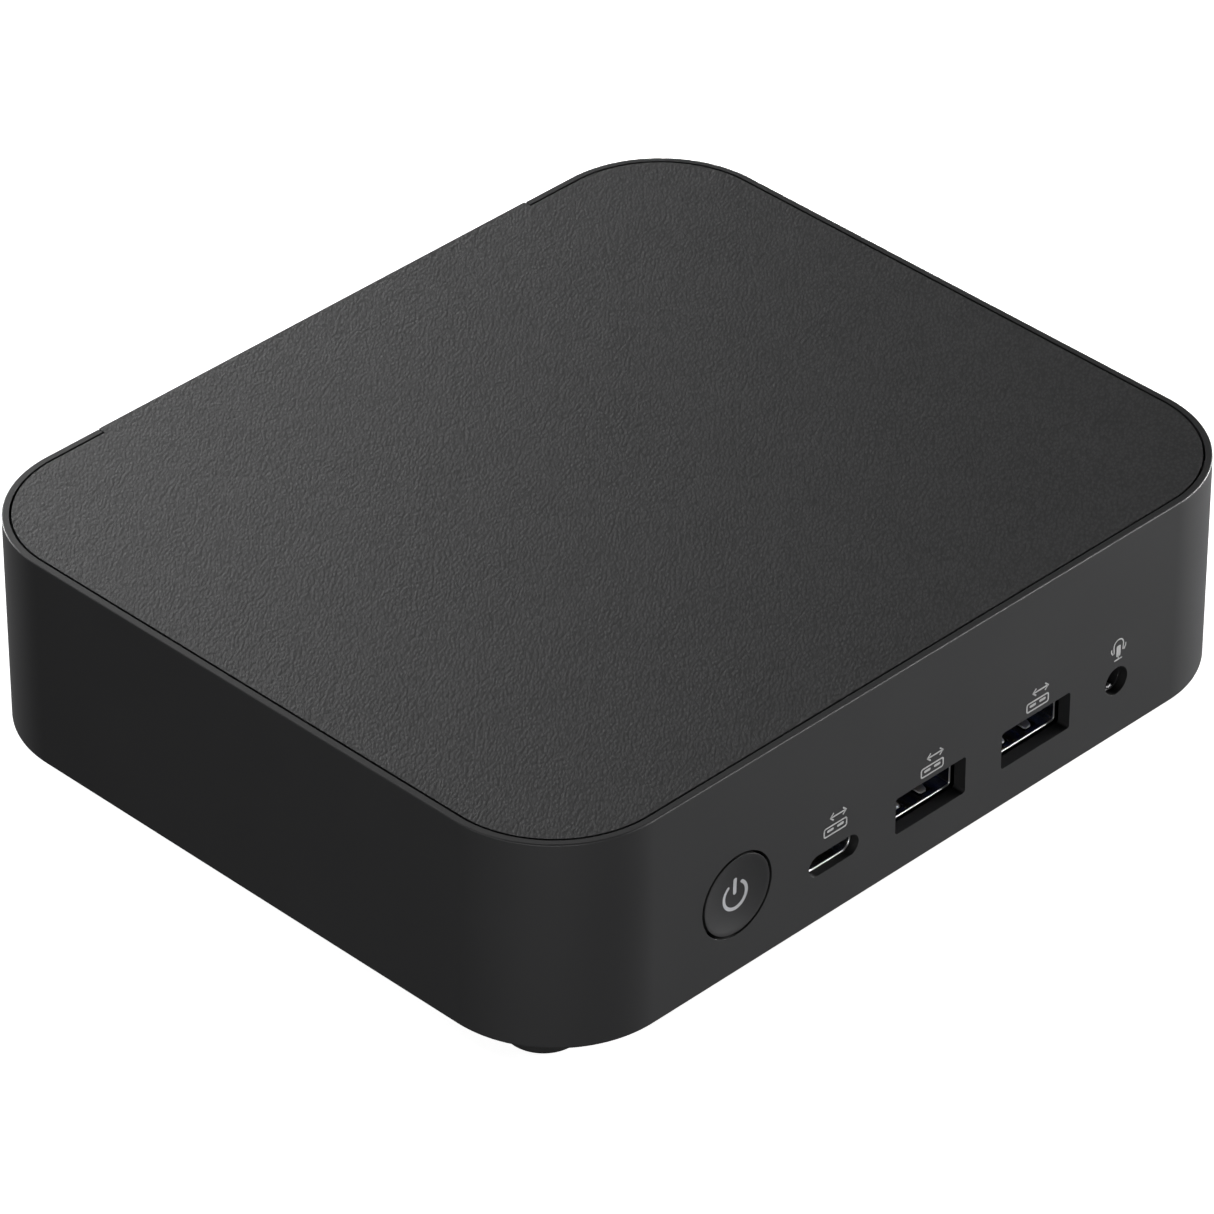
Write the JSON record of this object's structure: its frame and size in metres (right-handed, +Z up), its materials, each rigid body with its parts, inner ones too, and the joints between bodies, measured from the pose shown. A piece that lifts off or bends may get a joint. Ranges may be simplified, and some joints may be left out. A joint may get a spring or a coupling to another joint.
{
  "type": "mini pc",
  "caption": "Compact desktop computer in a flat rounded case with a grained top cover, front button and sockets, rear connector panel, and a full board and cooler inside",
  "frame": {"origin": "centre of the footprint at floor level, under the rubber feet", "axes": "+X along the front, +Y from the front face to the rear, +Z up"},
  "size_m": [0.1356, 0.1154, 0.036],
  "materials": {
    "case_plastic": "fine matte, dark grey",
    "cover_plastic": "grained like leather, dark grey",
    "base_plastic": "fine matte",
    "rubber": "matte",
    "screw_steel": "zinc plated",
    "brass": "turned",
    "button_plastic": "fine matte",
    "symbol_plastic": "translucent light grey",
    "black_plastic": "moulded",
    "ivory_plastic": "moulded",
    "blue_plastic": "moulded",
    "socket_steel": "tin plated sheet",
    "contact_gold": "gold plated",
    "board_green": "solder mask",
    "card_blue": "solder mask",
    "package_green": "chip carrier",
    "chip_black": "moulded package",
    "can_metal": "drawn can",
    "cell_steel": "plated",
    "antenna_film": "flexible film",
    "copper": "copper",
    "fin_aluminium": "bright sheet",
    "winding": "enamelled wire"
  },
  "bodies": {
    "chassis": {"housing": "case_plastic", "top_cover": "cover_plastic", "bottom_cover": "base_plastic", "rear_panel": "base_plastic", "rubber_feet": "rubber", "cover_screws": "screw_steel", "brass_inserts": "brass", "lock_plate": "screw_steel", "power_switch": "black_plastic", "usb_1_shell": "socket_steel", "usb_1_insulator": "blue_plastic", "usb_1_contacts": "contact_gold", "usb_2_shell": "socket_steel", "usb_2_insulator": "blue_plastic", "usb_2_contacts": "contact_gold", "usb_c_shell": "socket_steel", "usb_c_tongue": "black_plastic", "audio_jack": "black_plastic", "audio_contacts": "contact_gold", "dc_jack": "black_plastic", "dc_pin": "socket_steel", "hdmi_shell": "socket_steel", "hdmi_insulator": "black_plastic", "display_shell": "socket_steel", "display_insulator": "black_plastic", "lan_shield": "socket_steel", "lan_insert": "black_plastic", "lan_contacts": "contact_gold", "usb_rear_shell": "socket_steel", "usb_rear_insulator": "blue_plastic", "usb_rear_contacts": "contact_gold", "motherboard": "board_green", "processor": "package_green", "board_chips": "chip_black", "power_inductors": "chip_black", "board_capacitors": "can_metal", "memory_socket": "black_plastic", "memory_module": "board_green", "memory_chips": "chip_black", "m2_sockets": "black_plastic", "ssd_board": "card_blue", "ssd_chips": "chip_black", "wifi_card": "can_metal", "antennas": "antenna_film", "antenna_leads": "black_plastic", "coin_cell": "cell_steel", "board_screws": "screw_steel", "cold_plate": "copper", "heat_pipes": "copper", "fin_stack": "fin_aluminium", "blower_case": "black_plastic", "blower_lid": "fin_aluminium", "blower_motor": "winding", "fan_lead": "black_plastic"},
    "button": {"power_button": "button_plastic", "power_symbol": "symbol_plastic"},
    "plunger": {"switch_plunger": "ivory_plastic"},
    "fan": {"impeller": "black_plastic"},
    "latch_left": {"memory_latch_left": "socket_steel"},
    "latch_right": {"memory_latch_right": "socket_steel"}
  },
  "joints": [
    {"name": "button_press", "type": "slide", "parent": "chassis", "child": "button", "axis": [0, 1, 0], "range_m": [0, 0.0004], "stiffness_N_per_m": 2500},
    {"name": "plunger_press", "type": "slide", "parent": "chassis", "child": "plunger", "axis": [0, 1, 0], "range_m": [0, 0.0004]},
    {"name": "fan_spin", "type": "hinge", "parent": "chassis", "child": "fan", "pos_m": [0.01, 0, 0.028], "axis": [0, 0, 1], "continuous": true},
    {"name": "latch_left_open", "type": "hinge", "parent": "chassis", "child": "latch_left", "pos_m": [-0.0351, -0.0348, 0.0127], "axis": [0, 0, 1], "range_deg": [0, 8], "stiffness_Nm_per_rad": 0.02},
    {"name": "latch_right_open", "type": "hinge", "parent": "chassis", "child": "latch_right", "pos_m": [0.0351, -0.0348, 0.0127], "axis": [0, 0, -1], "range_deg": [0, 8], "stiffness_Nm_per_rad": 0.02}
  ],
  "couplings": [
    {"joint": "plunger_press", "follows": "button_press", "ratio": 1}
  ]
}
